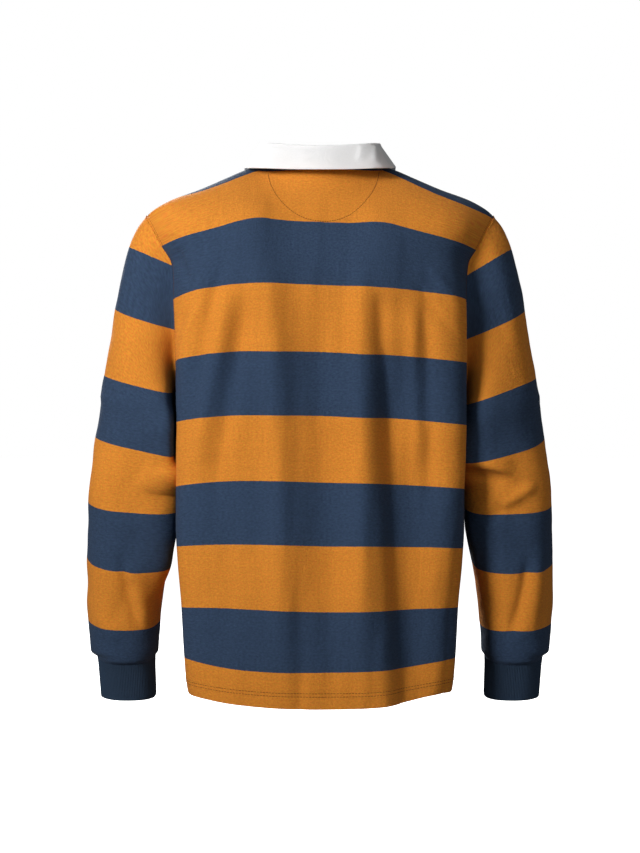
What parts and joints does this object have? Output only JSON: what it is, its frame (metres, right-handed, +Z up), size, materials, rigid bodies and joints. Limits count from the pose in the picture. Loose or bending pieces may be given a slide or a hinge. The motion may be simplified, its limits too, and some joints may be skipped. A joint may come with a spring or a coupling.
{
  "type": "long-sleeved polo shirt",
  "caption": "Long-sleeved rugby-style polo shirt in broad orange and navy hoops, white fold-down collar, short placket, ribbed cuffs, in its worn hollow shape",
  "frame": {"origin": "on the centre line, level with the neck points, where the wearer's neck and shoulders hold the shirt", "axes": "+Z up, the front faces -Y, the wearer's left is +X"},
  "size_m": [0.6596, 0.2618, 0.7822],
  "materials": {
    "orange_jersey": "matte cotton jersey",
    "navy_jersey": "matte cotton jersey",
    "navy_rib": "matte ribbed knit",
    "white_twill": "matte cotton twill",
    "white_rubber": "satin moulded rubber"
  },
  "bodies": {
    "root": {"back_panel": "orange_jersey", "front_panel": "orange_jersey", "sleeve_left": "navy_jersey", "sleeve_right": "navy_jersey", "cuff_left": "navy_rib", "cuff_right": "navy_rib", "collar": "white_twill", "placket_under": "white_twill", "placket_over": "white_twill", "button_1": "white_rubber", "button_2": "white_rubber", "button_3": "white_rubber", "neck_patch": "orange_jersey"}
  },
  "joints": []
}
